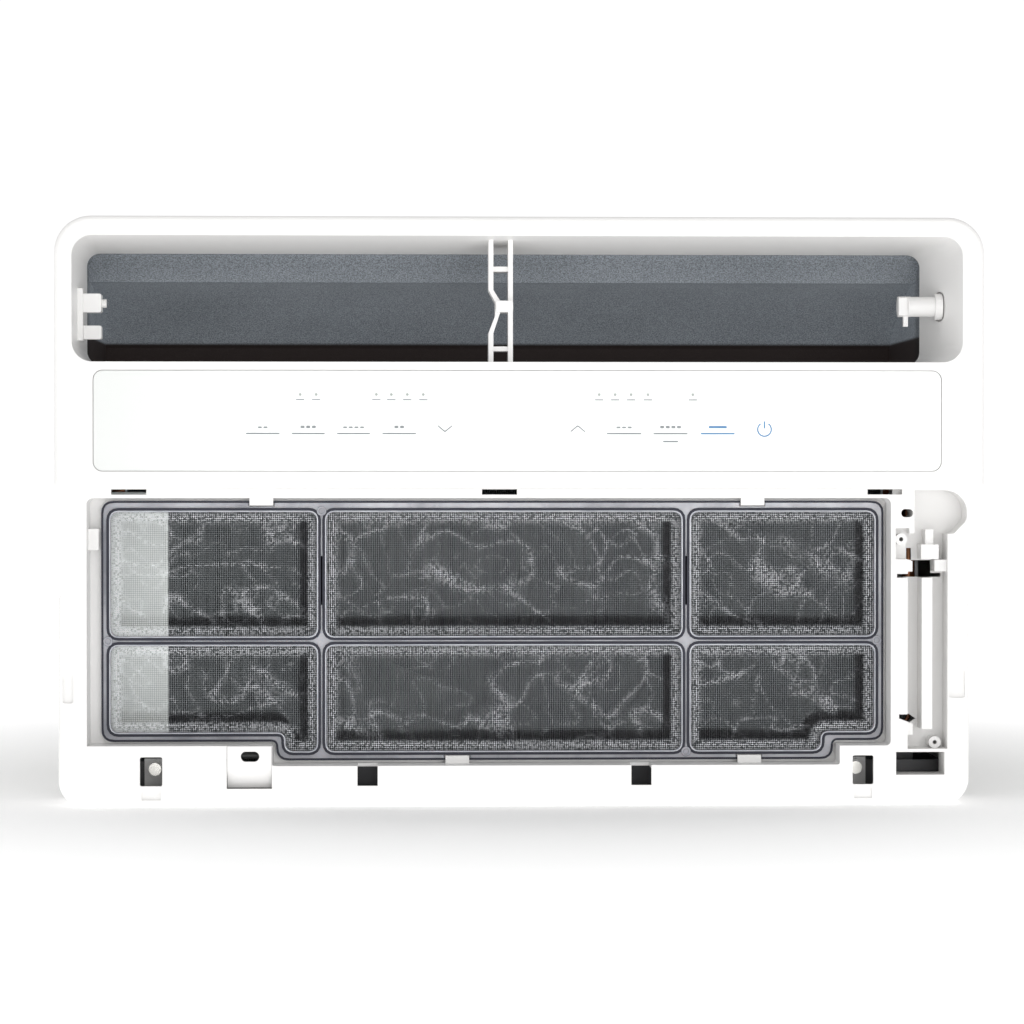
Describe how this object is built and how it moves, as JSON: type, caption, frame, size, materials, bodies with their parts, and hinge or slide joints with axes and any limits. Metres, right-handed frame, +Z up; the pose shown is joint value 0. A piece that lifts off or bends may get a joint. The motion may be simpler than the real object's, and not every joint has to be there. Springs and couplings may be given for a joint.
{
  "type": "window air conditioner",
  "caption": "Through-window air conditioner with its intake grille off: moulded front with wide top outlet, touch panel and pull-out filter, steel cabinet, coils, compressor and twin fans.",
  "frame": {"origin": "centre of the bounding box's bottom face, on the surface the unit stands on", "axes": "+Z up, -Y out of the front towards the room, +X to the right seen from the front"},
  "size_m": [0.56, 0.48, 0.357],
  "materials": {
    "white_plastic": "fine satin moulded",
    "panel_gloss": "high gloss",
    "duct_flock": "fine-grained flocked foam",
    "filter_plastic": "smoky satin moulded",
    "filter_net": "fine woven polyester net",
    "fin_metal": "coated thin fins",
    "fin_bare": "bare thin fins",
    "copper": "drawn copper",
    "galvanised": "galvanised sheet",
    "cabinet_paint": "powder coat",
    "foam_pale": "closed-cell foam",
    "foam_dark": "expanded bead foam",
    "pan_paint": "dark baked paint",
    "black_plastic": "moulded",
    "fan_plastic": "glass-filled",
    "scroll_plastic": "moulded",
    "motor_steel": "dipped enamel",
    "compressor_paint": "black stove enamel",
    "shaft_steel": "ground",
    "fastener_steel": "zinc plated",
    "rubber": "moulded",
    "board": "solder-masked laminate",
    "capacitor_can": "drawn can"
  },
  "bodies": {
    "chassis": {"front_frame": "white_plastic", "frame_left_side": "white_plastic", "frame_right_side": "white_plastic", "frame_bottom": "white_plastic", "outlet_support": "white_plastic", "pivot_pegs": "white_plastic", "sensor_housing": "white_plastic", "touch_panel": "panel_gloss", "outlet_duct": "duct_flock", "evaporator_fins": "fin_metal", "condenser_fins": "fin_bare", "evaporator_bends": "copper", "condenser_bends": "copper", "suction_pipe": "copper", "discharge_pipe": "copper", "liquid_pipe": "copper", "filter_drier": "copper", "capillary_tube": "copper", "accumulator_outlet": "copper", "coil_sensor": "copper", "evaporator_plates": "galvanised", "condenser_plates": "galvanised", "motor_bracket": "galvanised", "bulkhead": "galvanised", "control_box": "galvanised", "control_cover": "galvanised", "capacitor_strap": "galvanised", "cabinet": "cabinet_paint", "cabinet_left_side": "cabinet_paint", "cabinet_right_side": "cabinet_paint", "rear_grille": "cabinet_paint", "foam_strip": "foam_pale", "drain_pan": "foam_dark", "base_pan": "pan_paint", "room_sensor": "black_plastic", "terminal_cover": "black_plastic", "vane_motor": "black_plastic", "blower_scroll": "scroll_plastic", "fan_shroud": "scroll_plastic", "shroud_walls": "scroll_plastic", "fan_motor": "motor_steel", "compressor": "compressor_paint", "accumulator": "compressor_paint", "motor_screws": "fastener_steel", "cabinet_screws": "fastener_steel", "frame_screws": "fastener_steel", "compressor_bolts": "fastener_steel", "compressor_feet": "rubber", "drain_plug": "rubber", "power_inlet": "rubber", "control_board": "board", "power_relay_board": "board", "run_capacitor": "capacitor_can"},
    "filter": {"filter_frame": "filter_plastic", "filter_mesh": "filter_net"},
    "louvre_drive": {"vane_drive_hub": "white_plastic"},
    "fan_rotor": {"blower_wheel": "fan_plastic", "motor_shaft": "shaft_steel", "shaft_nuts": "fastener_steel", "condenser_fan": "fan_plastic"}
  },
  "joints": [
    {"name": "filter_slide", "type": "slide", "parent": "chassis", "child": "filter", "axis": [0, -1, 0], "range_m": [0, 0.06]},
    {"name": "louvre_drive_turn", "type": "hinge", "parent": "chassis", "child": "louvre_drive", "pos_m": [0.2363, -0.21, 0.3045], "axis": [1, 0, 0], "range_deg": [-60, 30]},
    {"name": "fan_spin", "type": "hinge", "parent": "chassis", "child": "fan_rotor", "pos_m": [-0.028, -0.01, 0.174], "axis": [0, 1, 0], "continuous": true}
  ]
}
